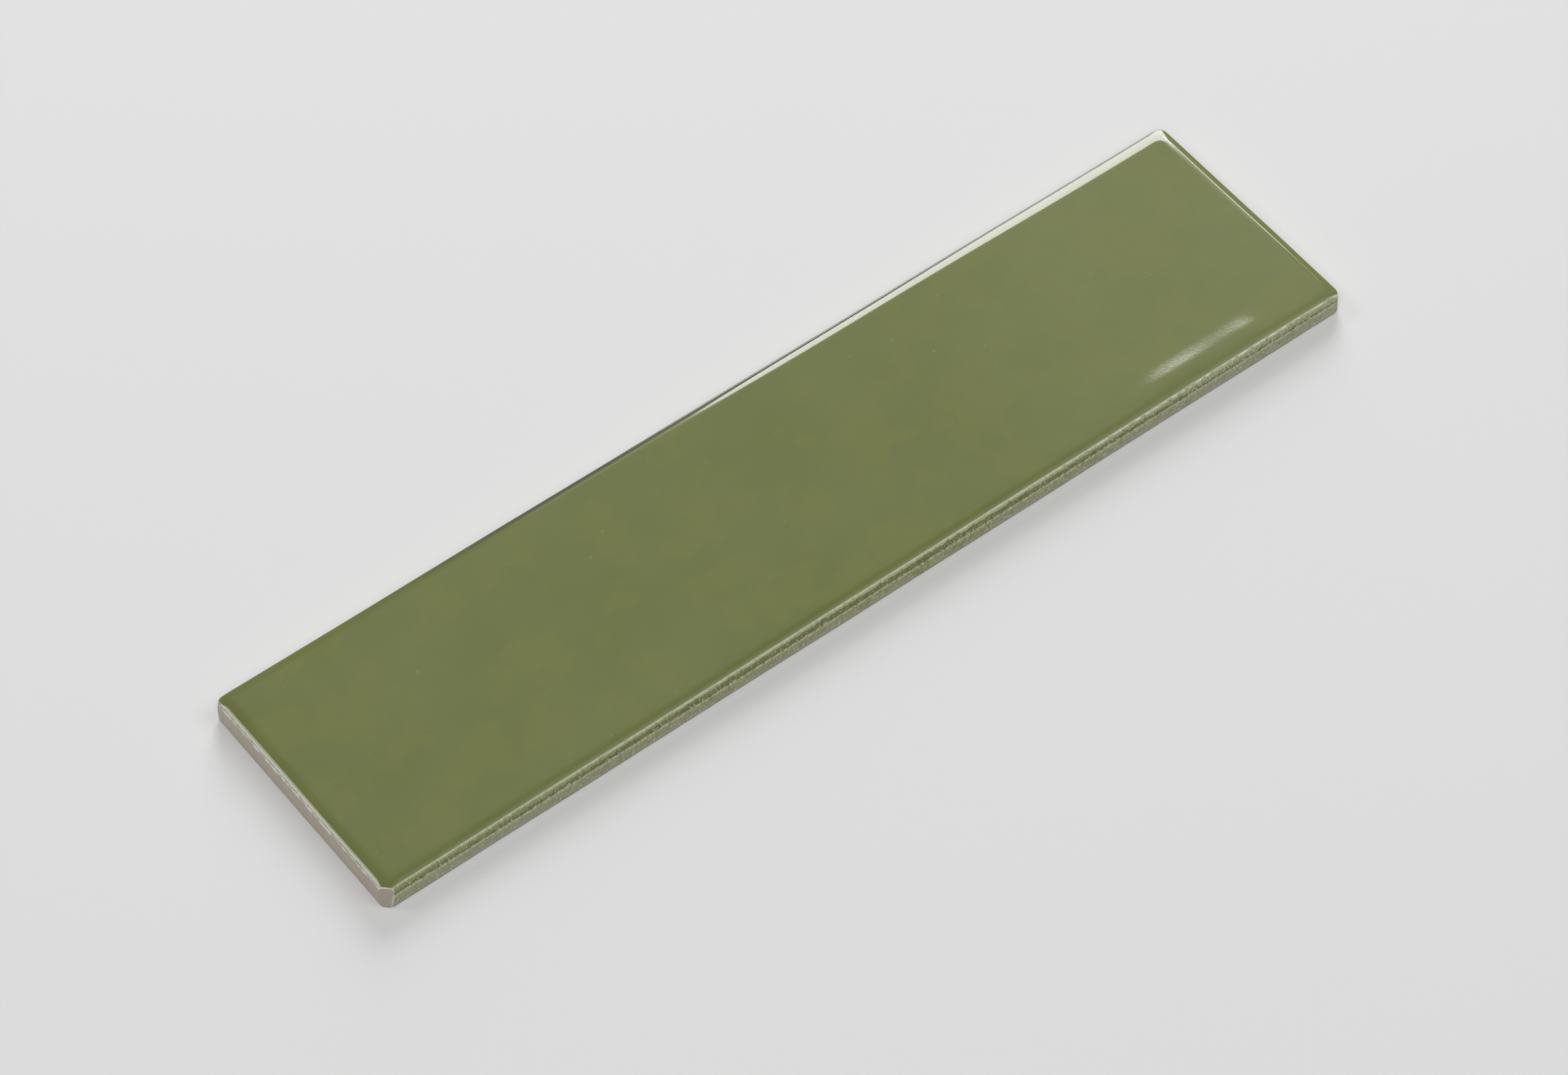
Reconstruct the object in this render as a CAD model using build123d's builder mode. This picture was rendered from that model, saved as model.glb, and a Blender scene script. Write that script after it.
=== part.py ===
from build123d import *
from math import cos, pi, radians, sin, tan
import os

# A long narrow wall tile, pressed and fired as one piece, lying on its back.
# Origin: middle of the back. X runs along the length, Z points out of the glazed face.
# All sizes are in millimetres and all angles in degrees.

# Outline and thickness
length = 280.0
width = 68.0
thickness = 7.6             # back to the highest point of the glazed face
corner_radius = 2.5         # the upright corners, worn round

# Side walls: an upright lower wall, then the upper wall, stepped in at the die line
# along both long sides
lower_wall_height = 4.2
die_line_step = 0.17
upper_wall_lean = 4.0
lip_radius = 1.0            # where the upper wall turns into the glazed face
foot_radius = 0.8           # softened edge round the back

# The one corner that was knocked flat: a short diagonal that leans back over the tile
facet_reach = 1.95          # how far along both sides it runs at the back
facet_lean = 9.5

# Glazed face: a cushion with soft shoulders, crossed by the waves of a hand-pressed tile
shoulder_reach = 5.5        # how far in from each edge the cushion starts to fall
shoulder_drop = 1.10        # how far it has fallen at the edge
camber = 0.15               # the middle of the face stands this much over its ends
station_spacing = 8.0       # distance between shape points, away from the shoulders
shoulder_stations = 3       # shape points across each shoulder
fit_tolerance = 0.002

# Each wave: height, length from crest to crest, heading from X, phase
waves = [
    (0.070, 93.0, 12.0, 40.0),
    (0.055, 61.0, -28.0, 150.0),
    (0.045, 47.0, 64.0, 20.0),
    (0.030, 34.0, -71.0, 205.0),
]

# Keyed back: shallow pockets between ribs, for the adhesive to grip
pocket_columns = 14
pocket_rows = 3
pocket_depth = 0.6
pocket_radius = 2.0
pocket_lean = 30.0          # slope of the pocket walls, so that the ribs leave the die
rib_width = 3.0
back_border = 6.0


def face_height(x, y):
    """Height of the glazed face at a point, before it is set to the tile's thickness."""
    height = camber * cos(pi * x / length)
    for rise, pitch, heading, phase in waves:
        along = x * cos(radians(heading)) + y * sin(radians(heading))
        height += rise * sin(2 * pi * along / pitch + radians(phase))
    end_share = max(0.0, abs(x) - length / 2 + shoulder_reach) / shoulder_reach
    side_share = max(0.0, abs(y) - width / 2 + shoulder_reach) / shoulder_reach
    cushion = (1 - end_share**3) * (1 - side_share**3)
    return height - shoulder_drop * (1 - cushion)


def stations(half):
    """Places of the shape points across one direction, past the edge by one at each end."""
    flat = half - shoulder_reach
    steps = round(2 * flat / station_spacing)
    middle = [flat * (2 * i / steps - 1) for i in range(steps + 1)]
    gap = shoulder_reach / shoulder_stations
    outside = [flat + gap * i for i in range(1, shoulder_stations + 2)]
    return [-place for place in reversed(outside)] + middle + outside


# The wavy surface that the pressed blank is trimmed to
xs = stations(length / 2)
ys = stations(width / 2)
inside = [(x, y) for x in xs for y in ys if abs(x) < length / 2 and abs(y) < width / 2]
highest = max(face_height(x, y) for x, y in inside)
wavy_face = Face.make_surface_from_array_of_points(
    [[(x, y, thickness - highest + face_height(x, y)) for y in ys] for x in xs],
    tol=fit_tolerance,
    min_deg=3,
    max_deg=5,
)

with BuildPart() as tile:
    # Upright lower wall
    with BuildSketch():
        RectangleRounded(length, width, corner_radius)
    extrude(amount=lower_wall_height)

    # Upper wall, cut well above the face
    with BuildSketch(Plane.XY.offset(lower_wall_height)):
        RectangleRounded(length, width - 2 * die_line_step, corner_radius)
    extrude(amount=thickness, taper=upper_wall_lean)

    # Glazed face, with its lip rounded all the way round
    split(bisect_by=wavy_face, keep=Keep.BOTTOM)
    glazed_face = tile.faces().sort_by(Axis.Z)[-1]
    fillet(glazed_face.edges(), radius=lip_radius)

    # Softened edge round the back
    back_face = tile.faces().sort_by(Axis.Z)[0]
    fillet(back_face.edges(), radius=foot_radius)

    # The flat corner, cut through lip and foot
    facet = Plane(
        origin=(-length / 2 + facet_reach, -width / 2, 0),
        z_dir=(-cos(radians(45)), -sin(radians(45)), tan(radians(facet_lean))),
    )
    split(bisect_by=facet, keep=Keep.BOTTOM)

    # Keyed back
    pocket_length = (length - 2 * back_border + rib_width) / pocket_columns - rib_width
    pocket_width = (width - 2 * back_border + rib_width) / pocket_rows - rib_width
    with BuildSketch():
        with GridLocations(
            pocket_length + rib_width,
            pocket_width + rib_width,
            pocket_columns,
            pocket_rows,
        ):
            RectangleRounded(pocket_length, pocket_width, pocket_radius)
    extrude(amount=pocket_depth, taper=pocket_lean, mode=Mode.SUBTRACT)

tile.part.label = "tile"
os.makedirs("parts", exist_ok=True)
export_step(tile.part, "parts/tile.step")

size = tile.part.bounding_box().size
print(f"tile {size.X:.2f} x {size.Y:.2f} x {size.Z:.2f} mm, {tile.part.volume / 1000:.1f} cm3")
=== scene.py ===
from math import cos, exp, floor, hypot, pi, radians, sin, tan

import bmesh
import bpy
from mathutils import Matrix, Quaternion, Vector, noise


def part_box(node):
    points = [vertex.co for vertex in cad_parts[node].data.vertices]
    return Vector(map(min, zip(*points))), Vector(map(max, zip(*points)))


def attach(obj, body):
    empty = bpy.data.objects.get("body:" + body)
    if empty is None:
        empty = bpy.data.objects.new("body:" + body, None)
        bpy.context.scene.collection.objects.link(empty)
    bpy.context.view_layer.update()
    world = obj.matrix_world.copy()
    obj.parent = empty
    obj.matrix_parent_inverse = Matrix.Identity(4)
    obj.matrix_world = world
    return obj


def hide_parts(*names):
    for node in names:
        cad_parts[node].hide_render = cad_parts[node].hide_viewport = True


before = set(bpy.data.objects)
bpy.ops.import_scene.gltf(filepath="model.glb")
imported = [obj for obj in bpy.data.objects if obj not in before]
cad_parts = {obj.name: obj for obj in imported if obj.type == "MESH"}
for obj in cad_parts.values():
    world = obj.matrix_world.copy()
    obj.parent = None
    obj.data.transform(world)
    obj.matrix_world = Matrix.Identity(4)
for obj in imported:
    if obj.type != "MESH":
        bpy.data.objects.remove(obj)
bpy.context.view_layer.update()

# The tile lies on its back at the origin: X along it, Z out of its glazed face.
# Shapes are worked out in millimetres and turned into metres when a mesh is made.
mm = 0.001
tileLow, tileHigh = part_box("tile")
tileLength = (tileHigh.x - tileLow.x) / mm
tileWidth = (tileHigh.y - tileLow.y) / mm
tileTop = tileHigh.z / mm
print(f"frame loaded: tile {tileLength:.1f} x {tileWidth:.1f} x {tileTop:.2f} mm")


tileForm = {
    "cornerRadius": 2.5,
    "lowerWall": 4.2,       # height of the upright lower wall
    "creaseRise": 0.16,     # the upper wall comes down to this far over the lower one
    "dieLineStep": 0.17,    # how far the upper wall stands inside the lower one
    "lipInset": 0.30,       # where the upper wall ends and the lip starts to turn
    "lipRadius": 1.0,
    "lipSlope": 24.0,       # tilt where the lip runs into the shoulder, degrees
    "wallLean": 4.0,        # how far from upright the lip stops turning, degrees
    "footRadius": 0.58,
    "shoulderReach": 5.5,
    "shoulderDrop": 1.10,
    "camber": 0.15,
    "clearance": 0.012,     # kept inside the solid's box
    "facetReach": 1.95,     # the knocked corner, along both sides at the back
    "facetLean": 9.5,
    "facetEdge": 0.50,      # the broken glaze shows this thick over the top of the facet
    "facetLip": (1.2, 28),  # the lip beside it: in from the left end, out from the middle
}

# where the rows of shape points run, as distances in from the outline, and how many there are
tileRows = {
    "innerInset": 5.0,      # rings run from here outwards, the face's net is inside
    "outerInset": 1.8,      # rings outside this keep the shape of the outline
    "fineInset": 1.5,       # rings are closely spaced outside this
    "wallStep": 0.44,       # spacing of the points along the walls
    "shoulder": (4.4, 3.9, 3.5, 3.1, 2.7, 2.3, 1.95, 1.68),
    "fineShoulder": (1.30, 1.10),
    "back": (1.6, 3.0),
    "corner": 6,            # net lines that open out into each half of a rounded corner
    "pocket": 6,
    "lip": 9,
    "upperWall": 6,
    "lowerWall": 8,
    "foot": 5,
}

# rows of the thin ridge along the die line: height, inset and share of the ridge
ridgeRows = [(4.27, 0.10, 1.0), (4.20, 0.01, 1.0), (4.08, 0.0, 1.0), (3.92, 0.0, 0.35)]

# hand-pressed waves: rise, crest to crest, heading from X, phase
faceWaves = [
    (0.070, 93.0, 12.0, 40.0),
    (0.055, 61.0, -28.0, 150.0),
    (0.045, 47.0, 64.0, 20.0),
    (0.030, 34.0, -71.0, 205.0),
]

# local swellings of the glaze: x, y, rise, half length, half width, heading
faceSwells = [
    (113.0, -28.0, 0.200, 6.2, 2.2, -4.0),
    (93.0, -28.0, 0.318, 13.8, 2.3, 0.0),
    (70.0, 4.0, 0.10, 15.0, 15.0, 0.0),
    (123.0, 9.5, 0.06, 5.0, 2.4, 4.0),
]


def zeroToOne(value):
    return min(1.0, max(0.0, value))


def rawHeight(x, y):
    # height of the face before it is set to the tile's thickness
    form = tileForm
    height = form["camber"] * cos(pi * x / tileLength)
    for rise, pitch, heading, phase in faceWaves:
        along = x * cos(radians(heading)) + y * sin(radians(heading))
        height += rise * sin(2 * pi * along / pitch + radians(phase))
    for cx, cy, rise, halfLength, halfWidth, heading in faceSwells:
        turn = radians(heading)
        along = (x - cx) * cos(turn) + (y - cy) * sin(turn)
        across = (y - cy) * cos(turn) - (x - cx) * sin(turn)
        spread = (along / halfLength) ** 2 + (across / halfWidth) ** 2
        if spread < 9:
            height += rise * exp(-spread)
    reach = form["shoulderReach"]
    endShare = max(0.0, abs(x) - tileLength / 2 + reach) / reach
    sideShare = max(0.0, abs(y) - tileWidth / 2 + reach) / reach
    cushion = (1 - endShare ** 3) * (1 - sideShare ** 3)
    return height - form["shoulderDrop"] * (1 - cushion)


pocketForm = {
    "columns": 14,
    "rows": 3,
    "depth": 0.6,
    "radius": 2.0,
    "lean": 30.0,
    "rib": 3.0,
    "border": 6.0,
    "wallLines": (0.6, 1.6),    # net lines this far in from the foot of each pocket wall
}


def pocketSize(span, count):
    return (span - 2 * pocketForm["border"] + pocketForm["rib"]) / count - pocketForm["rib"]


def pocketSlope():
    # how far a leaning pocket wall reaches in from its top to its foot
    return pocketForm["depth"] * tan(radians(pocketForm["lean"]))


def pocketLines(span, count):
    # the net's lines across one direction, lined up with the pocket walls
    border, rib = pocketForm["border"], pocketForm["rib"]
    pocket, slope = pocketSize(span, count), pocketSlope()
    nearWall = [0.0, slope] + [slope + w for w in pocketForm["wallLines"]]
    inside = tileRows["pocket"]
    first, last = nearWall[-1], pocket - nearWall[-1]
    middle = [first + (last - first) * i / inside for i in range(1, inside)]
    shape = nearWall + middle + [pocket - w for w in reversed(nearWall)]
    places = []
    for index in range(count):
        start = -span / 2 + border + index * (pocket + rib)
        places += [start + s for s in shape]
        if index < count - 1:
            places += [start + pocket + rib / 2]
    return places


def netLines(span, count):
    edge = span / 2 - tileRows["innerInset"]
    inner = pocketLines(span, count)
    steps = tileRows["corner"]
    tight = [edge + (inner[-1] - edge) * i / steps for i in range(steps)]
    return [-t for t in tight] + inner + list(reversed(tight))


linesX = netLines(tileLength, pocketForm["columns"])
linesY = netLines(tileWidth, pocketForm["rows"])


def outlinePlace(index, lines, span):
    # where a net line meets the outline: (along the side, how far round the corner)
    steps = tileRows["corner"]
    last = len(lines) - 1
    straight = span / 2 - tileForm["cornerRadius"]
    if index < steps:
        return -straight, (steps - index) / steps * pi / 4
    if index > last - steps:
        return straight, (index - last + steps) / steps * pi / 4
    first, end = lines[steps], lines[last - steps]
    return -straight + 2 * straight * (lines[index] - first) / (end - first), 0.0


def walkOutline():
    # every outline point in order round the tile, with its normal and its inner net point
    radius = tileForm["cornerRadius"]
    points = []
    nx, ny = len(linesX) - 1, len(linesY) - 1
    for i in range(nx):                      # near long side, left to right
        along, turn = outlinePlace(i, linesX, tileLength)
        normal = Vector((sin(turn) * (1 if along > 0 else -1), -cos(turn)))
        points.append((Vector((along, -tileWidth / 2 + radius)), normal, (i, 0)))
    for j in range(ny):                      # right end
        along, turn = outlinePlace(j, linesY, tileWidth)
        normal = Vector((cos(turn), sin(turn) * (1 if along > 0 else -1)))
        points.append((Vector((tileLength / 2 - radius, along)), normal, (nx, j)))
    for i in range(nx, 0, -1):               # far long side, right to left
        along, turn = outlinePlace(i, linesX, tileLength)
        normal = Vector((sin(turn) * (1 if along > 0 else -1), cos(turn)))
        points.append((Vector((along, tileWidth / 2 - radius)), normal, (i, ny)))
    for j in range(ny, 0, -1):               # left end
        along, turn = outlinePlace(j, linesY, tileWidth)
        normal = Vector((-cos(turn), sin(turn) * (1 if along > 0 else -1)))
        points.append((Vector((-tileLength / 2 + radius, along)), normal, (0, j)))
    return points


def splitOutline(points):
    # the same walk cut into short steps, and how many steps each straight piece got
    fine, cuts = [], []
    for k, (centre, normal, inner) in enumerate(points):
        following = points[(k + 1) % len(points)][0]
        count = max(1, round((following - centre).length / tileRows["wallStep"]))
        cuts.append(count)
        for q in range(count):
            fine.append((centre.lerp(following, q / count), normal, inner))
    return fine, cuts


outline = walkOutline()
fineOutline, outlineCuts = splitOutline(outline)


def ringPoint(place, inset):
    # the point that lies this far in from the outline
    centre, normal, (i, j) = place
    outer = tileRows["outerInset"]
    near = centre + normal * (tileForm["cornerRadius"] - min(inset, outer))
    if inset <= outer:
        return near
    inner = Vector((linesX[i], linesY[j]))
    return near.lerp(inner, (inset - outer) / (tileRows["innerInset"] - outer))


def pocketDepth(x, y):
    # how deep the keyed back is cut at a point
    form = pocketForm
    length = pocketSize(tileLength, form["columns"])
    width = pocketSize(tileWidth, form["rows"])
    startX = tileLength / 2 - form["border"]
    startY = tileWidth / 2 - form["border"]
    column = floor((x + startX + form["rib"] / 2) / (length + form["rib"]))
    row = floor((y + startY + form["rib"] / 2) / (width + form["rib"]))
    if not (0 <= column < form["columns"] and 0 <= row < form["rows"]):
        return 0.0
    cx = -startX + column * (length + form["rib"]) + length / 2
    cy = -startY + row * (width + form["rib"]) + width / 2
    dx = abs(x - cx) - length / 2 + form["radius"]
    dy = abs(y - cy) - width / 2 + form["radius"]
    away = hypot(max(dx, 0), max(dy, 0)) + min(max(dx, dy), 0) - form["radius"]
    return form["depth"] * zeroToOne(-away / pocketSlope())


# how rough the hand-dressed walls are, all cut inwards
wallWear = {
    "drip": 0.055,          # upright runs in the glaze of the upper wall
    "scuff": 0.040,         # upright scuffs of the lower wall
    "speck": 0.025,
    "ridge": 0.15,          # gaps worn into the thin ridge along the die line
    "gapSharpness": 4.0,
    "gapOnset": 1.5,        # the higher, the fewer gaps
    "ridgeShelter": 0.7,    # share of the scuffs that the ridge is spared
    "hollow": 0.045,        # the lower wall lies this far behind the ridge
    "hollowRise": 1.2,      # reached this far over the foot
    "lip": 0.030,           # unevenness of the lip
    "footScuff": 0.05,
    "foot": 0.14,           # slow wander of the foot
    "footFade": 2.4,        # the wander has faded out at this height
    "clay": 0.3,            # share of all this on the bare ends
    "rightFrom": 30.0,      # the long sides get rougher from here to the right
    "rightOver": 70.0,
    "rightExtra": 0.5,
}

# grain of each kind of wear: patches per millimetre along the wall, up it, and a start
wearGrain = {
    "drip": (1.2, 0.45, 0),
    "upperSpeck": (2.4, 1.8, 31),
    "lip": (0.9, 0.5, 20),
    "gap": (1.0, 1.0, 55),
    "scuff": (1.6, 0.3, 9),
    "lowerSpeck": (2.6, 1.6, 77),
    "footScuff": (0.7, 0.3, 9),
    "foot": (0.04, 0.0, 91),
}


def ruffle(place, height, kind, drift=0.0):
    # an uneven number from 0 to 1 that wanders along the wall and up it
    along, up, start = wearGrain[kind]
    value = noise.noise(Vector((place.x * along + (start + drift), place.y * along, height * up)))
    return zeroToOne(0.5 + 0.7 * value)


def toughness(place, normal):
    # the glazed long sides are rougher than the clay ends, most of all to the right
    wear = wallWear
    side = normal.y ** 2
    right = zeroToOne((place.x - wear["rightFrom"]) / wear["rightOver"])
    return wear["clay"] + (1 - wear["clay"]) * side * (1 + wear["rightExtra"] * right)


def upperWear(place, height):
    drip = wallWear["drip"] * ruffle(place, height, "drip")
    return drip + wallWear["speck"] * ruffle(place, height, "upperSpeck")


def lowerWear(place, height, normal, ridge):
    # the ridge has gaps, and the wall under it is hollow and scuffed
    wear = wallWear
    side = normal.y ** 2
    gaps = zeroToOne(wear["gapSharpness"] * ruffle(place, 0, "gap") - wear["gapOnset"])
    rise = min(1.0, (height - tileForm["footRadius"]) / wear["hollowRise"])
    sunk = wear["hollow"] * (1 - ridge) * rise * side
    scuffed = wear["scuff"] * ruffle(place, height, "scuff")
    scuffed += wear["speck"] * ruffle(place, height, "lowerSpeck")
    spared = wear["ridgeShelter"] * ridge
    return ridge * wear["ridge"] * gaps * side + sunk + (1 - spared) * scuffed


def footWander(place, height):
    fade = max(0.0, 1 - height / wallWear["footFade"])
    return wallWear["foot"] * ruffle(place, 0, "foot") * fade


def wallInset(normal, height, lipFoot, stepped):
    # stepped along the sides, one slightly hollow lean from foot to lip on the ends
    form = tileForm
    share = max(0.0, height - form["footRadius"]) / (lipFoot - form["footRadius"])
    leaning = form["lipInset"] * share ** 2
    return leaning + (stepped - leaning) * normal.y ** 2


def makeTile():
    form, rows = tileForm, tileRows
    verts, faces = [], []

    # glazed face inside the rings
    heights = [[rawHeight(x, y) for y in linesY] for x in linesX]
    highest = max(max(row) for row in heights)
    lift = tileTop - form["clearance"] - highest
    netX, netY = len(linesX), len(linesY)
    for i, x in enumerate(linesX):
        for j, y in enumerate(linesY):
            verts.append((x, y, heights[i][j] + lift))
    for i in range(netX - 1):
        for j in range(netY - 1):
            a = i * netY + j
            faces.append((a, a + netY, a + netY + 1, a + 1))
    ring = [i * netY + j for _, _, (i, j) in outline]

    def addPoints(points):
        start = len(verts)
        verts.extend(points)
        return list(range(start, start + len(points)))

    def joinTo(fresh):
        count = len(fresh)
        for k in range(count):
            n = (k + 1) % count
            faces.append((ring[k], fresh[k], fresh[n], ring[n]))

    def addRing(points):
        fresh = addPoints(points)
        joinTo(fresh)
        ring[:] = fresh

    def joinFine(coarse, fine, outwards):
        # a ring of widely spaced points joined to the closely spaced one
        at = 0
        for k, count in enumerate(outlineCuts):
            a, b = coarse[k], coarse[(k + 1) % len(coarse)]
            part = [fine[(at + q) % len(fine)] for q in range(count + 1)]
            at += count
            half = count // 2
            pieces = [(a, part[q], part[q + 1]) for q in range(half)]
            pieces.append((a, part[half], b))
            pieces += [(b, part[q], part[q + 1]) for q in range(half, count)]
            faces.extend(p if outwards else p[::-1] for p in pieces)

    def onFace(places, inset):
        points = [ringPoint(place, inset) for place in places]
        return [(p.x, p.y, rawHeight(p.x, p.y) + lift) for p in points]

    # shoulder, from the net outwards
    tilt = radians(form["lipSlope"])
    lipStart = form["lipInset"] + form["lipRadius"] * (1 - sin(tilt))
    for inset in rows["shoulder"]:
        addRing(onFace(outline, inset))
    coarse = list(ring)
    ring = addPoints(onFace(fineOutline, rows["fineInset"]))
    joinFine(coarse, ring, True)
    for inset in rows["fineShoulder"] + (lipStart,):
        addRing(onFace(fineOutline, inset))
    shoulder = [verts[v][2] for v in ring]
    rough = [toughness(ringPoint(place, 0), place[1]) for place in fineOutline]

    # lip: a quarter turn of its own radius
    for s in range(1, rows["lip"] + 1):
        turn = tilt + (pi / 2 - radians(form["wallLean"]) - tilt) * s / rows["lip"]
        inset = lipStart + form["lipRadius"] * (sin(tilt) - sin(turn))
        drop = form["lipRadius"] * (cos(tilt) - cos(turn))
        points = []
        for k, place in enumerate(fineOutline):
            uneven = ruffle(ringPoint(place, inset), 0, "lip", 0.15 * s)
            worn = wallWear["lip"] * rough[k] * s / rows["lip"] * uneven
            p = ringPoint(place, inset + worn * sin(turn))
            points.append((p.x, p.y, shoulder[k] - drop - worn * cos(turn)))
        addRing(points)
    lipFoot = [verts[v][2] for v in ring]

    # upper wall down to the die line
    crease = form["lowerWall"] + form["creaseRise"]
    for s in range(1, rows["upperWall"] + 1):
        share = s / rows["upperWall"]
        stepped = form["lipInset"] + (form["dieLineStep"] - form["lipInset"]) * share
        points = []
        for k, place in enumerate(fineOutline):
            height = lipFoot[k] + (crease - lipFoot[k]) * share
            worn = upperWear(ringPoint(place, 0), height) * rough[k]
            p = ringPoint(place, wallInset(place[1], height, lipFoot[k], stepped) + worn)
            points.append((p.x, p.y, height))
        addRing(points)

    # die line with its broken ridge, then the lower wall
    levels = list(ridgeRows)
    top = ridgeRows[-1][0]
    for s in range(1, rows["lowerWall"] + 1):
        levels.append((top + (form["footRadius"] - top) * s / rows["lowerWall"], 0.0, 0.0))
    for height, stepped, ridge in levels:
        points = []
        for k, place in enumerate(fineOutline):
            p = ringPoint(place, 0)
            worn = lowerWear(p, height, place[1], ridge) * rough[k]
            inset = wallInset(place[1], height, lipFoot[k], stepped)
            p = ringPoint(place, inset + worn + footWander(p, height))
            points.append((p.x, p.y, height))
        addRing(points)

    # foot, rounded under
    for s in range(1, rows["foot"] + 1):
        turn = pi / 2 * s / rows["foot"]
        inset = form["footRadius"] * (1 - cos(turn))
        height = form["footRadius"] * (1 - sin(turn))
        points = []
        for k, place in enumerate(fineOutline):
            p = ringPoint(place, 0)
            worn = wallWear["footScuff"] * rough[k] * ruffle(p, height, "footScuff") * cos(turn)
            p = ringPoint(place, inset + worn + footWander(p, height))
            points.append((p.x, p.y, height))
        addRing(points)

    # back: border rings, then the keyed net
    nearFoot, nearNet = [[ringPoint(place, inset) for place in outline] for inset in rows["back"]]
    fine = ring
    ring = addPoints([(p.x, p.y, 0.0) for p in nearFoot])
    joinFine(ring, fine, False)
    addRing([(p.x, p.y, 0.0) for p in nearNet])
    start = len(verts)
    for x in linesX:
        for y in linesY:
            verts.append((x, y, pocketDepth(x, y)))
    joinTo([start + i * netY + j for _, _, (i, j) in outline])
    for i in range(netX - 1):
        for j in range(netY - 1):
            a = start + i * netY + j
            faces.append((a, a + 1, a + netY + 1, a + netY))

    mesh = bpy.data.meshes.new("tileBody")
    mesh.from_pydata([(x * mm, y * mm, z * mm) for x, y, z in verts], [], faces)
    mesh.update()
    return mesh


def knockCorner(mesh):
    # one upright corner is flat, where it was knocked off and the clay shows
    form = tileForm
    start = Vector((-tileLength / 2 + form["facetReach"], -tileWidth / 2, 0)) * mm
    outward = Vector((-cos(pi / 4), -sin(pi / 4), tan(radians(form["facetLean"]))))
    cut = bmesh.new()
    cut.from_mesh(mesh)
    everything = cut.verts[:] + cut.edges[:] + cut.faces[:]
    found = bmesh.ops.bisect_plane(
        cut, geom=everything, plane_co=start, plane_no=outward.normalized(), clear_outer=True
    )
    rim = [e for e in found["geom_cut"] if isinstance(e, bmesh.types.BMEdge)]
    filled = bmesh.ops.edgeloop_fill(cut, edges=rim)["faces"]
    bmesh.ops.recalc_face_normals(cut, faces=cut.faces)
    for face in filled:
        face.material_index = 1
        face.smooth = False
    cut.to_mesh(mesh)
    cut.free()


class Nodes:
    # short hand for wiring a node tree
    def __init__(self, tree):
        self.tree = tree

    def put(self, socket, value):
        if isinstance(value, bpy.types.NodeSocket):
            self.tree.links.new(value, socket)
        else:
            socket.default_value = value

    def math(self, operation, a, b=0.0):
        node = self.tree.nodes.new("ShaderNodeMath")
        node.operation = operation
        self.put(node.inputs[0], a)
        self.put(node.inputs[1], b)
        return node.outputs[0]

    def plus(self, a, b):
        return self.math("ADD", a, b)

    def minus(self, a, b):
        return self.math("SUBTRACT", a, b)

    def both(self, a, b):
        return self.math("MULTIPLY", a, b)

    def larger(self, a, b):
        return self.math("MAXIMUM", a, b)

    def smaller(self, a, b):
        return self.math("MINIMUM", a, b)

    def without(self, value):
        return self.minus(1.0, value)

    def step(self, value, low, high, toLow=0.0, toHigh=1.0):
        # smooth step of value from low to high
        node = self.tree.nodes.new("ShaderNodeMapRange")
        node.interpolation_type = "SMOOTHSTEP"
        for socket, v in zip(node.inputs, (value, low, high, toLow, toHigh)):
            self.put(socket, v)
        return node.outputs[0]

    def upTo(self, value, edge):
        # 1 below a soft edge, 0 above it
        return self.without(self.step(value, *edge))

    def between(self, value, start, end):
        # 1 in a band with two soft edges
        return self.both(self.step(value, *start), self.upTo(value, end))

    def pattern(self, name):
        # noise squeezed or stretched along each axis
        scale, start, detail, rough = patterns[name]
        place = self.tree.nodes.new("ShaderNodeMapping")
        self.put(place.inputs["Vector"], self.inMm)
        place.inputs["Scale"].default_value = scale
        place.inputs["Location"].default_value = start
        node = self.tree.nodes.new("ShaderNodeTexNoise")
        self.put(node.inputs["Vector"], place.outputs[0])
        node.inputs["Scale"].default_value = 1.0
        node.inputs["Detail"].default_value = detail
        node.inputs["Roughness"].default_value = rough
        return node.outputs[0]

    def mix(self, share, a, b):
        node = self.tree.nodes.new("ShaderNodeMix")
        node.data_type = "RGBA"
        self.put(node.inputs[0], share)
        self.put(node.inputs[6], a)
        self.put(node.inputs[7], b)
        return node.outputs[2]

    def placeInMm(self):
        # where a point of the tile lies, in millimetres
        coords = self.tree.nodes.new("ShaderNodeTexCoord")
        scale = self.tree.nodes.new("ShaderNodeVectorMath")
        scale.operation = "SCALE"
        self.put(scale.inputs[0], coords.outputs["Object"])
        scale.inputs["Scale"].default_value = 1 / mm
        split = self.tree.nodes.new("ShaderNodeSeparateXYZ")
        self.inMm = scale.outputs[0]
        self.put(split.inputs[0], self.inMm)
        return split.outputs

    def bump(self, height, strength, depth):
        node = self.tree.nodes.new("ShaderNodeBump")
        self.put(node.inputs["Height"], height)
        self.put(node.inputs["Strength"], strength)
        node.inputs["Distance"].default_value = depth * mm
        return node.outputs[0]


def newMaterial(name):
    material = bpy.data.materials.new(name)
    material.use_nodes = True
    tree = material.node_tree
    tree.nodes.clear()
    output = tree.nodes.new("ShaderNodeOutputMaterial")
    shader = tree.nodes.new("ShaderNodeBsdfPrincipled")
    tree.links.new(shader.outputs[0], output.inputs[0])
    return material, Nodes(tree), shader


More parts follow.
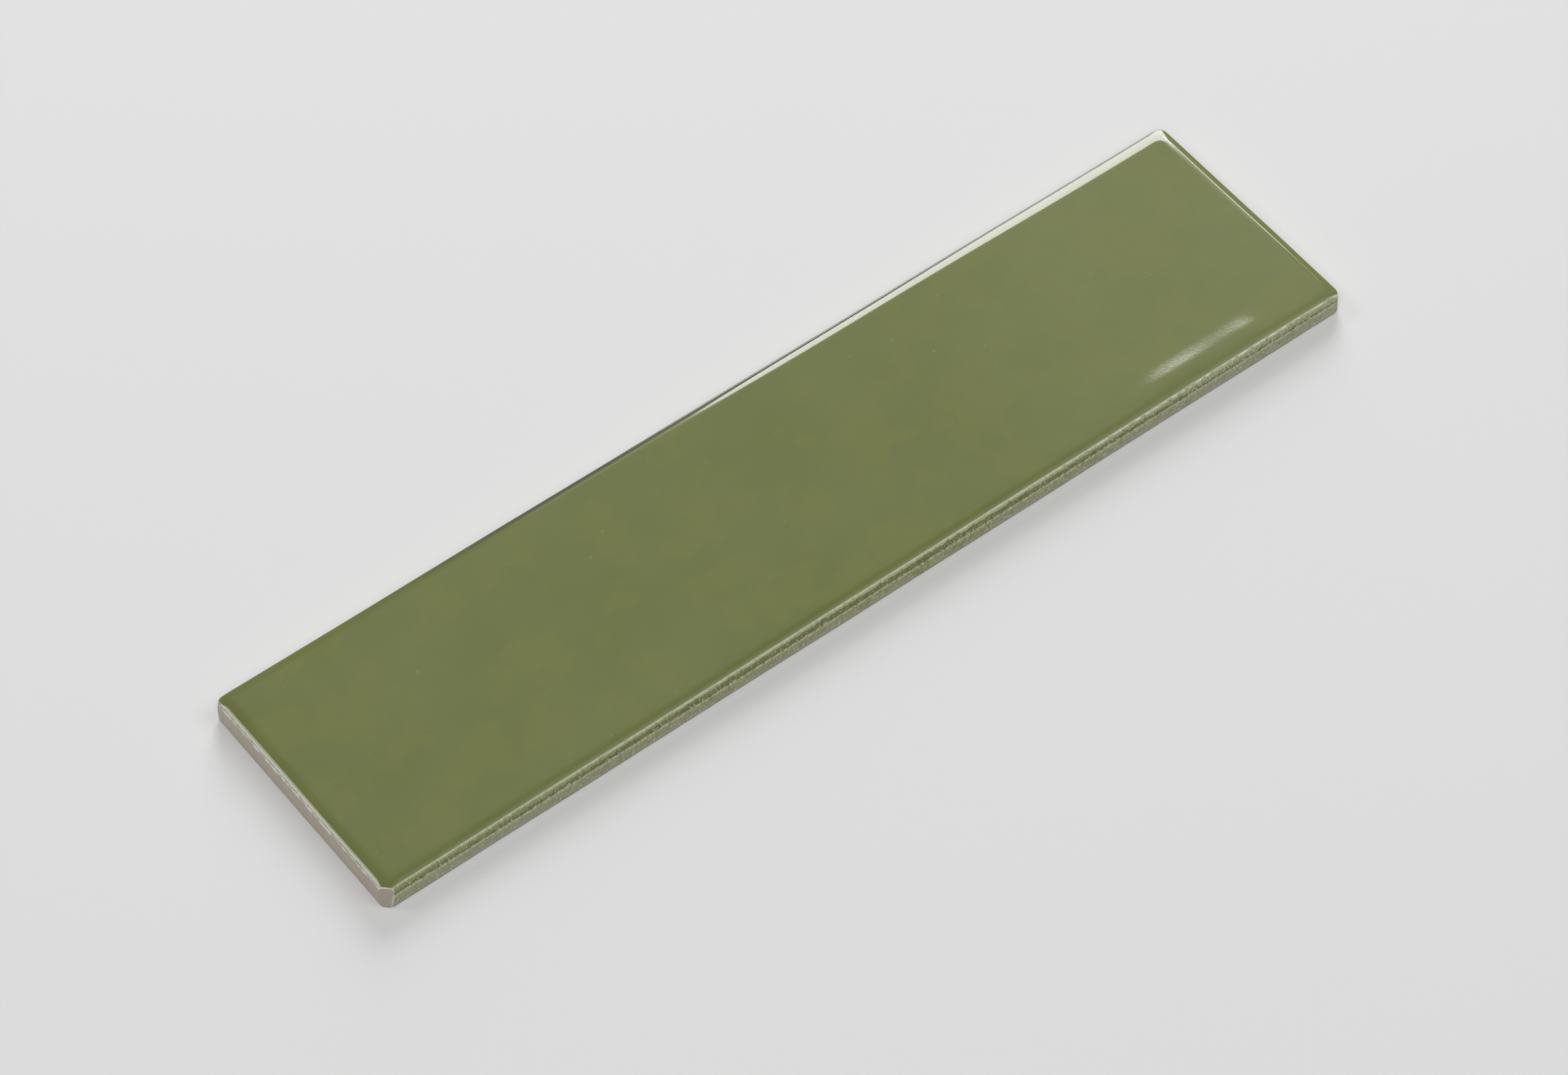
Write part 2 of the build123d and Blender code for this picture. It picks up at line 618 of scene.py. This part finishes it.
glazeFinish = {
    "body": (0.147, 0.170, 0.060, 1),        # olive green in the depth of the glaze
    "deep": (0.135, 0.155, 0.048, 1),        # where it pooled
    "warm": (0.164, 0.173, 0.053, 1),        # clouds that fired a little warmer
    "rightReflectionShare": 0.085,                      # how much paler the right end of the face is painted: a painted reflection
    "wall": (0.120, 0.135, 0.024, 1),        # where it ran down the long sides
    "wallOlive": (0.175, 0.192, 0.050, 1),
    "wallPale": (0.245, 0.265, 0.105, 1),
    "thin": (0.41, 0.44, 0.26, 1),           # where it broke over an edge
    "lipPale": (0.47, 0.50, 0.31, 1),
    "lipGrey": (0.49, 0.50, 0.41, 1),
    "farLip": (0.095, 0.093, 0.072, 1),      # painted shade on the far lip, dimming the bright band it mirrors
    # dot is the pale flecks, and also the painted highlight dots along the ridge
    "dot": (0.56, 0.57, 0.43, 1),
    "rim": (0.57, 0.56, 0.47, 1),            # where it ended on the clay
    # rimWhite is also the colour of the painted glints on the near lip
    "rimWhite": (0.70, 0.69, 0.61, 1),
    "clay": (0.52, 0.458, 0.371, 1),
    "clayDark": (0.452, 0.397, 0.322, 1),
    "overspray": (0.360, 0.357, 0.184, 1),   # glaze dusted over the clay of the long sides
    "oversprayDark": (0.240, 0.252, 0.104, 1),
    "oversprayBrown": (0.325, 0.303, 0.180, 1),
    "footGrey": (0.37, 0.375, 0.29, 1),
    "footShade": (0.21, 0.215, 0.175, 1),    # painted shade along the foot of the long sides
    "facetClay": (0.40, 0.348, 0.285, 1),
    # chip is dark chips on the walls, and the painted shadow in the chipped foot of the knocked
    # corner
    "chip": (0.10, 0.10, 0.06, 1),
    "glazeRoughness": 0.07,
    "pulledRoughness": 0.11,                 # added on the long swelling
    "wallRoughness": 0.22,
    "oversprayRoughness": 0.6,
    "clayRoughness": 0.85,
    "glossIndex": 1.55,
    "glazeRelief": 0.12,                     # millimetres
    "clayRelief": 0.05,
}

# patches per millimetre along x, y and z, where the pattern starts, fine detail, roughness
patterns = {
    "clouds": ((0.030, 0.034, 0.03), (2, 1, 0), 3.0, 0.55),
    "warmClouds": ((0.075, 0.075, 0.05), (0, 7, 3), 3.0, 0.6),
    "specks": ((0.9, 0.9, 0.5), (6, 2, 0), 2.0, 0.5),
    "streaks": ((1.25, 1.25, 0.5), (0, 0, 0), 4.0, 0.65),
    "wedges": ((0.60, 0.60, 0.12), (3, 0, 5), 4.0, 0.65),
    "grit": ((2.2, 2.2, 1.2), (5, 3, 1), 2.0, 0.5),
    "blotches": ((0.11, 0.11, 0.3), (9, 0, 2), 2.0, 0.5),
    "ridgeGlintSpots": ((1.3, 1.3, 0.5), (0, 0, 7), 2.0, 0.5),
    "chips": ((1.0, 1.0, 0.7), (3, 8, 4), 2.0, 0.5),
    "grain": ((0.9, 0.9, 0.9), (2, 2, 2), 3.0, 0.6),
    "scallops": ((0.42, 0.42, 0.1), (1, 5, 0), 2.0, 0.5),
    "ragged": ((1.3, 1.3, 0.2), (4, 4, 4), 2.0, 0.5),
    "glintDashes": ((0.62, 2.2, 2.2), (5, 0, 8), 2.0, 0.5),
    "dashes": ((0.8, 0.8, 0.5), (7, 1, 3), 2.0, 0.5),
    "wornEdge": ((0.3, 0.3, 0.9), (1, 1, 6), 2.0, 0.5),
    "chippedFootShadow": ((0.9, 0.9, 0.5), (0, 3, 9), 2.0, 0.5),
}

# soft edges, as the place where each starts and the place where it is complete, in millimetres
edges = {
    # along the tile, from its middle
    "leftHalf": (-1, 1),
    "leftPart": (-115, -40),
    "rightPart": (30, 110),
    "rightReflectionSpan": (10, 130),
    "paleWall": (-110, 40),
    "widerLip": (-80, 60),
    "glintLip": (25, 95),
    "farLipShadeStart": (-110, -50),
    "grainyLip": (35, 85),
    # across the tile, from its middle
    "farHalf": (0, 20),
    # up the walls
    "footShade": (0.30, 1.0),
    "footGrey": (0.7, 2.2),
    "backTop": (0.65, 0.9),
    "ridge": (3.2, 4.0),
    "ridgeTop": (4.26, 4.34),
    "glossyWall": (4.2, 4.6),
    "paleTop": (5.5, 6.6),
    # in from the outline
    "backSide": (0.25, 0.55),
    "glintDashes": (0.34, 0.44),
    "glintBandEnd": (0.72, 0.86),
    "faceStart": (0.48, 0.62),
    "dashes": (0.56, 0.64),
    "dashesEnd": (0.72, 0.82),
    "paleLip": (0.62, 1.05),
    "grainyLipEnd": (0.8, 1.3),
    "farLipEnd": (1.5, 2.3),
    # round the long swelling, along and across the tile
    "pulledLeft": (79, 90),
    "pulledRight": (114, 121),
    "pulledNear": (-30.8, -29.0),
    "pulledFar": (-25.4, -22.6),
    # on the knocked corner, in from the near side and up
    "wornEdge": (0.30, 0.50),
    "facetFoot": (0.25, 0.6),
}

# heights where one finish gives way to another, in millimetres
finishLines = {
    "dusted": 4.18,         # the glaze of the long sides starts over the dusted clay here
    "darkTop": 4.05,        # lowest top of the dark crease, which the wedges raise
    "endGlaze": 5.80,       # lowest edge of the glaze on the short ends
}


def sideFinish(n, x, z):
    # the long sides from the foot up: dusted clay, broken ridge, dark runs, pale drips
    look, lines = glazeFinish, finishLines
    right = n.step(x, *edges["rightPart"])
    middle = n.both(n.step(x, *edges["leftPart"]), n.without(right))
    streaks = n.pattern("streaks")
    wedges = n.pattern("wedges")
    grit = n.pattern("grit")
    blotches = n.pattern("blotches")

    dusted = n.mix(n.step(streaks, 0.38, 0.62), look["oversprayDark"], look["overspray"])
    dusted = n.mix(n.step(blotches, 0.42, 0.58, 0.0, 0.6), dusted, look["oversprayBrown"])
    greyFoot = n.both(n.upTo(z, edges["footGrey"]), n.step(blotches, 0.3, 0.6))
    dusted = n.mix(greyFoot, dusted, look["footGrey"])
    dusted = n.mix(n.both(n.without(middle), 0.3), dusted, look["footGrey"])
    # pale dots along the ridge top: painted highlight where the ridge catches the light
    ridgeGlints = n.step(n.pattern("ridgeGlintSpots"), 0.42, 0.56)
    onRidge = n.between(z, edges["ridge"], edges["ridgeTop"])
    dusted = n.mix(n.both(n.both(onRidge, ridgeGlints), 0.75), dusted, look["dot"])
    dusted = n.mix(n.both(right, n.step(grit, 0.50, 0.62, 0.0, 0.6)), dusted, look["thin"])

    # dark in the crease over the ridge, in ragged wedges, and paler up to the lip
    dark = n.mix(n.step(streaks, 0.42, 0.58), look["wall"], look["wallOlive"])
    upwards = n.both(n.step(z, *edges["paleTop"]), n.step(streaks, 0.34, 0.58, 0.6, 1.0))
    upwards = n.both(upwards, n.step(x, *edges["paleWall"], 0.5, 1.0))
    pale = n.mix(n.step(streaks, 0.40, 0.58), look["wallOlive"], look["wallPale"])
    pale = n.mix(upwards, pale, look["lipPale"])
    pale = n.mix(n.both(right, n.step(grit, 0.44, 0.56, 0.15, 0.75)), pale, look["thin"])
    darkTop = n.plus(n.plus(lines["darkTop"], n.both(wedges, 2.0)), n.both(middle, 0.95))
    darkTop = n.minus(darkTop, n.both(right, 0.25))
    run = n.mix(n.step(n.minus(z, darkTop), -0.14, 0.14), dark, pale)
    dustedTop = n.plus(lines["dusted"], n.both(streaks, 0.13))
    wall = n.mix(n.step(n.minus(z, dustedTop), -0.05, 0.07), dusted, run)

    # pale flecks and dark chips over all of it, and painted shade at the foot
    wall = n.mix(n.step(grit, 0.60, 0.66, 0.0, 0.7), wall, look["dot"])
    wall = n.mix(n.step(n.pattern("chips"), 0.66, 0.72, 0.0, 0.6), wall, look["chip"])
    paintedFootShade = n.without(n.step(z, *edges["footShade"], 0.33, 1.0))
    return n.mix(paintedFootShade, wall, look["footShade"]), streaks, grit


def endFinish(n, x, z):
    # the short ends: bare clay with the glaze stopping in small scallops under the lip
    look = glazeFinish
    clay = n.mix(n.pattern("grain"), look["clay"], look["clayDark"])
    scallops = n.step(n.pattern("scallops"), 0.47, 0.60)
    ragged = n.both(n.pattern("ragged"), 0.5)
    edge = n.minus(n.plus(finishLines["endGlaze"], ragged), n.both(scallops, 0.46))
    covered = n.step(n.minus(z, edge), -0.05, 0.12)
    glaze = n.mix(scallops, look["rim"], look["rimWhite"])
    glaze = n.mix(n.step(x, *edges["leftHalf"]), glaze, look["wall"])
    return n.mix(covered, clay, glaze), covered


def faceFinish(n, x):
    # clouded olive, painted a little paler towards the right as a painted reflection, with a few
    # pale specks
    look = glazeFinish
    face = n.mix(n.step(n.pattern("clouds"), 0.30, 0.70, 0.0, 0.8), look["body"], look["deep"])
    face = n.mix(n.step(n.pattern("warmClouds"), 0.44, 0.60, 0.0, 0.5), face, look["warm"])
    paler = n.step(x, *edges["rightReflectionSpan"], 0.0, look["rightReflectionShare"])
    face = n.mix(paler, face, look["thin"])
    return n.mix(n.step(n.pattern("specks"), 0.75, 0.80, 0.0, 0.3), face, look["thin"])


def lipFinish(n, x, y, toEdge, atEnd, streaks, face):
    # thin pale glaze on the lips, made paler where their highlights fall, so partly a painted
    # highlight; greyer along the left one and crossed there by dark dashes
    look = glazeFinish
    leftEnd = n.both(atEnd, n.upTo(x, edges["leftHalf"]))
    rightEnd = n.both(atEnd, n.step(x, *edges["leftHalf"]))
    farHalf = n.step(y, *edges["farHalf"])
    shift = n.plus(n.step(x, *edges["widerLip"], 0.03, 0.12), n.both(leftEnd, 0.12))
    notPale = n.larger(rightEnd, n.both(farHalf, n.without(atEnd)))
    pale = n.both(n.upTo(n.minus(toEdge, shift), edges["paleLip"]), n.without(notPale))
    paleColor = n.mix(leftEnd, look["lipPale"], look["lipGrey"])
    glintedNearLip = n.both(n.step(x, *edges["glintLip"]), n.without(n.larger(atEnd, farHalf)))
    share = n.larger(n.step(streaks, 0.36, 0.60, 0.60, 1.0), n.both(leftEnd, 0.9))
    share = n.both(share, n.without(n.both(glintedNearLip, 0.30)))
    lip = n.mix(n.both(pale, share), face, paleColor)

    # painted glints: white dashes on the right part of the near lip
    glintDashes = n.step(n.pattern("glintDashes"), 0.48, 0.55)
    glintDashes = n.both(glintDashes, n.between(toEdge, edges["glintDashes"], edges["glintBandEnd"]))
    lip = n.mix(n.both(glintDashes, glintedNearLip), lip, look["rimWhite"])

    # painted shade on the far lip, dimming the band it mirrors, and dark dashes along the left
    # one
    farLip = n.both(n.both(farHalf, n.without(atEnd)), n.upTo(toEdge, edges["farLipEnd"]))
    farLip = n.both(n.both(farLip, n.step(x, *edges["farLipShadeStart"])), 0.75)
    lip = n.mix(farLip, lip, look["farLip"])
    dashes = n.step(n.pattern("dashes"), 0.47, 0.58)
    dashes = n.both(n.between(toEdge, edges["dashes"], edges["dashesEnd"]), dashes)
    return n.mix(n.both(dashes, n.both(leftEnd, 0.75)), lip, look["wallPale"])


def firedFinish():
    look = glazeFinish
    material, n, shader = newMaterial("oliveGlaze")
    x, y, z = n.placeInMm()
    toEnd = n.minus(tileLength / 2, n.math("ABSOLUTE", x))
    toSide = n.minus(tileWidth / 2, n.math("ABSOLUTE", y))
    atEnd = n.step(n.minus(toSide, toEnd), -0.3, 0.3)
    toEdge = n.smaller(toEnd, toSide)

    face = faceFinish(n, x)
    sides, streaks, grit = sideFinish(n, x, z)
    ends, covered = endFinish(n, x, z)
    walls = n.mix(atEnd, sides, ends)
    lip = lipFinish(n, x, y, toEdge, atEnd, streaks, face)
    uneven = n.both(n.minus(grit, 0.5), 0.2)
    onTop = n.step(n.plus(toEdge, uneven), *edges["faceStart"])
    color = n.mix(onTop, walls, lip)
    onBack = n.both(n.upTo(z, edges["backTop"]), n.step(toSide, *edges["backSide"]))
    color = n.mix(onBack, color, n.mix(grit, look["clay"], look["clayDark"]))
    n.put(shader.inputs["Base Color"], color)

    sideRough = n.step(
        z, *edges["glossyWall"], look["oversprayRoughness"], look["wallRoughness"]
    )
    endRough = n.step(covered, 0.0, 1.0, look["clayRoughness"], look["wallRoughness"])
    wallRough = n.plus(sideRough, n.both(n.minus(endRough, sideRough), atEnd))
    drop = n.minus(look["glazeRoughness"], wallRough)
    rough = n.plus(wallRough, n.both(drop, onTop))
    # the pulled glaze on the long swelling near the right end is a little less glossy
    along = n.between(x, edges["pulledLeft"], edges["pulledRight"])
    pulled = n.both(along, n.between(y, edges["pulledNear"], edges["pulledFar"]))
    rough = n.plus(rough, n.both(pulled, look["pulledRoughness"]))
    rough = n.larger(rough, n.both(onBack, look["clayRoughness"]))
    n.put(shader.inputs["Roughness"], rough)

    rightLip = n.both(n.step(x, *edges["grainyLip"]), n.upTo(toEdge, edges["grainyLipEnd"]))
    grainy = n.larger(n.without(onTop), n.both(rightLip, 0.6))
    grainy = n.larger(grainy, n.both(pulled, 0.3))
    relief = n.plus(n.both(streaks, 0.6), n.both(grit, 0.4))
    n.put(shader.inputs["Normal"], n.bump(relief, grainy, look["glazeRelief"]))
    shader.inputs["IOR"].default_value = look["glossIndex"]
    return material


def clayFinish(lipHeight):
    # the knocked corner: clay with a worn upright edge at the near side and dark spots at its
    # foot, painted shadow in its chips
    form, look = tileForm, glazeFinish
    material, n, shader = newMaterial("bareClay")
    x, y, z = n.placeInMm()
    nearSide = n.plus(y, tileWidth / 2)
    grain = n.pattern("grain")
    color = n.mix(grain, look["clay"], look["clayDark"])
    color = n.mix(n.step(grain, 0.3, 0.7, 0.7, 1.0), color, look["facetClay"])
    worn = n.step(n.pattern("wornEdge"), 0.38, 0.6, 0.25, 0.9)
    color = n.mix(n.both(n.upTo(nearSide, edges["wornEdge"]), worn), color, look["rim"])
    # painted shadow in the chips at the foot of the knocked corner
    chips = n.step(n.pattern("chippedFootShadow"), 0.45, 0.6)
    chips = n.both(n.upTo(z, edges["facetFoot"]), chips)
    color = n.mix(n.both(chips, 0.7), color, look["chip"])

    # the pale broken edge of the glaze runs over its top, down from the round of the lip
    inset = n.smaller(nearSide, n.plus(x, tileLength / 2))
    short = n.larger(n.minus(form["lipInset"] + form["lipRadius"], inset), 0.0)
    rise = n.math("SQRT", n.larger(n.minus(1.0, n.both(short, short)), 0.0))
    depth = n.minus(n.plus(lipHeight, rise), z)
    broken = n.upTo(depth, (form["facetEdge"] - 0.06, form["facetEdge"] + 0.06))
    color = n.mix(broken, color, n.mix(n.step(grain, 0.3, 0.8), look["rimWhite"], look["rim"]))
    n.put(shader.inputs["Base Color"], color)
    shader.inputs["Roughness"].default_value = look["clayRoughness"]
    n.put(shader.inputs["Normal"], n.bump(grain, 0.5, look["clayRelief"]))
    return material


def lipBesideFacet(mesh):
    # how high the centre of the lip's round lies beside the knocked corner
    fromEnd, fromMiddle = tileForm["facetLip"]
    leftOf = (fromEnd - tileLength / 2) * mm
    places = [v.co for v in mesh.vertices]
    top = max(p.z for p in places if p.x < leftOf and p.y < -fromMiddle * mm)
    return top / mm - tileForm["lipRadius"]


tileMesh = makeTile()
tileMesh.materials.append(firedFinish())
tileMesh.materials.append(clayFinish(lipBesideFacet(tileMesh)))
for polygon in tileMesh.polygons:
    polygon.use_smooth = True
knockCorner(tileMesh)
tileMesh.set_sharp_from_angle(angle=radians(35))
tilePiece = bpy.data.objects.new("glazedTile", tileMesh)
bpy.context.scene.collection.objects.link(tilePiece)
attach(tilePiece, "root")
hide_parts("tile")
triangles = sum(len(p.vertices) - 2 for p in tileMesh.polygons)
print(f"tile shaped and glazed: {len(tileMesh.vertices)} points, {triangles} triangles")


studio = {
    "floorColor": (0.685, 0.685, 0.685, 1),
    "floorRoughness": 0.9,
    "floorGloss": 0.2,
    "floorSize": 14.0,      # metres
    "roomLight": 0.10,
}

# round soft boxes: heading from +Y towards +X and height above the floor in degrees, as seen
# from the tile, then how wide and how far off they are in metres and how bright their cloth is
softBoxes = {
    "rearRight": (40.1, 27.0, 0.960, 1.8, 7.5),
    "rearLeft": (-43.0, 46.5, 0.60, 1.8, 4.4),
    "nearRight": (141.0, 55.0, 0.90, 1.8, 1.75),
    "fill": (225.0, 58.0, 3.64, 5.0, 4.15),
}

# bright strips that the far and right lips mirror: heading, rise, width, height, distance and
# brightness
brightStrips = {
    "lowGlow": (33.0, 6.7, 1.2, 0.6, 2.6, 3.8),
    "sideEdge": (56.8, 29.5, 0.28, 0.065, 1.8, 8.6),
}

# soft spill of light in the room: heading, rise, full inside, gone outside, brightness
spills = [
    (40.1, 27.0, 14.9, 16.8, 1.2),
    (40.0, 52.0, 8.0, 22.0, 0.46),
    (137.0, 57.0, 14.0, 27.0, 1.1),
]


def wayTo(heading, rise):
    h, e = radians(heading), radians(rise)
    return Vector((sin(h) * cos(e), cos(h) * cos(e), sin(e)))


def makeFloor():
    half = studio["floorSize"] / 2
    corners = [(-half, -half, 0), (half, -half, 0), (half, half, 0), (-half, half, 0)]
    mesh = bpy.data.meshes.new("floor")
    mesh.from_pydata(corners, [], [(0, 1, 2, 3)])
    floorPiece = bpy.data.objects.new("floor", mesh)
    bpy.context.scene.collection.objects.link(floorPiece)
    material, n, shader = newMaterial("palePaper")
    n.put(shader.inputs["Base Color"], studio["floorColor"])
    n.put(shader.inputs["Roughness"], studio["floorRoughness"])
    n.put(shader.inputs["Specular IOR Level"], studio["floorGloss"])
    mesh.materials.append(material)


def placeLight(name, light, way, away):
    box = bpy.data.objects.new(name, light)
    box.location = way * away
    box.rotation_euler = way.to_track_quat("Z", "Y").to_euler()
    bpy.context.scene.collection.objects.link(box)


def makeSoftBoxes():
    for name, (heading, rise, across, away, bright) in softBoxes.items():
        light = bpy.data.lights.new(name, "AREA")
        light.shape = "DISK"
        light.size = across
        light.energy = bright * pi * pi * (across / 2) ** 2
        placeLight(name, light, wayTo(heading, rise), away)
    for name, (heading, rise, wide, tall, away, bright) in brightStrips.items():
        light = bpy.data.lights.new(name, "AREA")
        light.shape = "RECTANGLE"
        light.size, light.size_y = wide, tall
        light.energy = bright * pi * wide * tall
        placeLight(name, light, wayTo(heading, rise), away)


def makeWorld():
    world = bpy.data.worlds.new("room")
    bpy.context.scene.world = world
    world.use_nodes = True
    tree = world.node_tree
    tree.nodes.clear()
    n = Nodes(tree)
    way = tree.nodes.new("ShaderNodeTexCoord").outputs["Generated"]
    level = studio["roomLight"]
    for heading, rise, inside, outside, bright in spills:
        toBox = tree.nodes.new("ShaderNodeVectorMath")
        toBox.operation = "DOT_PRODUCT"
        n.put(toBox.inputs[0], way)
        n.put(toBox.inputs[1], wayTo(heading, rise))
        gone, full = cos(radians(outside)), cos(radians(inside))
        level = n.plus(level, n.step(toBox.outputs["Value"], gone, full, 0.0, bright))
    background = tree.nodes.new("ShaderNodeBackground")
    n.put(background.inputs["Strength"], level)
    output = tree.nodes.new("ShaderNodeOutputWorld")
    n.put(output.inputs[0], background.outputs[0])


cameraPlace = {
    "location": (-475.661, -639.449, 1045.585),     # millimetres
    "aim": (-6.935, -5.717, 0.0),
    "roll": -0.0224,                                # radians
    "focus": 8335.2,                                # focal length in photo pixels
    "photoWidth": 2324,
    "sensorWidth": 36.0,
    "seesFrom": 0.01,                               # metres
    "seesTo": 50,
}


def makeCamera():
    place = cameraPlace
    data = bpy.data.cameras.new("camera")
    data.sensor_width = place["sensorWidth"]
    data.lens = place["focus"] / place["photoWidth"] * data.sensor_width
    data.clip_start = place["seesFrom"]
    data.clip_end = place["seesTo"]
    camera = bpy.data.objects.new("camera", data)
    location = Vector(place["location"]) * mm
    aim = Vector(place["aim"]) * mm
    level = (aim - location).to_track_quat("-Z", "Y")
    camera.location = location
    camera.rotation_mode = "QUATERNION"
    camera.rotation_quaternion = level @ Quaternion((0, 0, 1), place["roll"])
    bpy.context.scene.collection.objects.link(camera)
    bpy.context.scene.camera = camera


makeFloor()
makeSoftBoxes()
makeWorld()
makeCamera()
bpy.context.scene.view_settings.view_transform = "Standard"
print("floor, lights and camera placed")
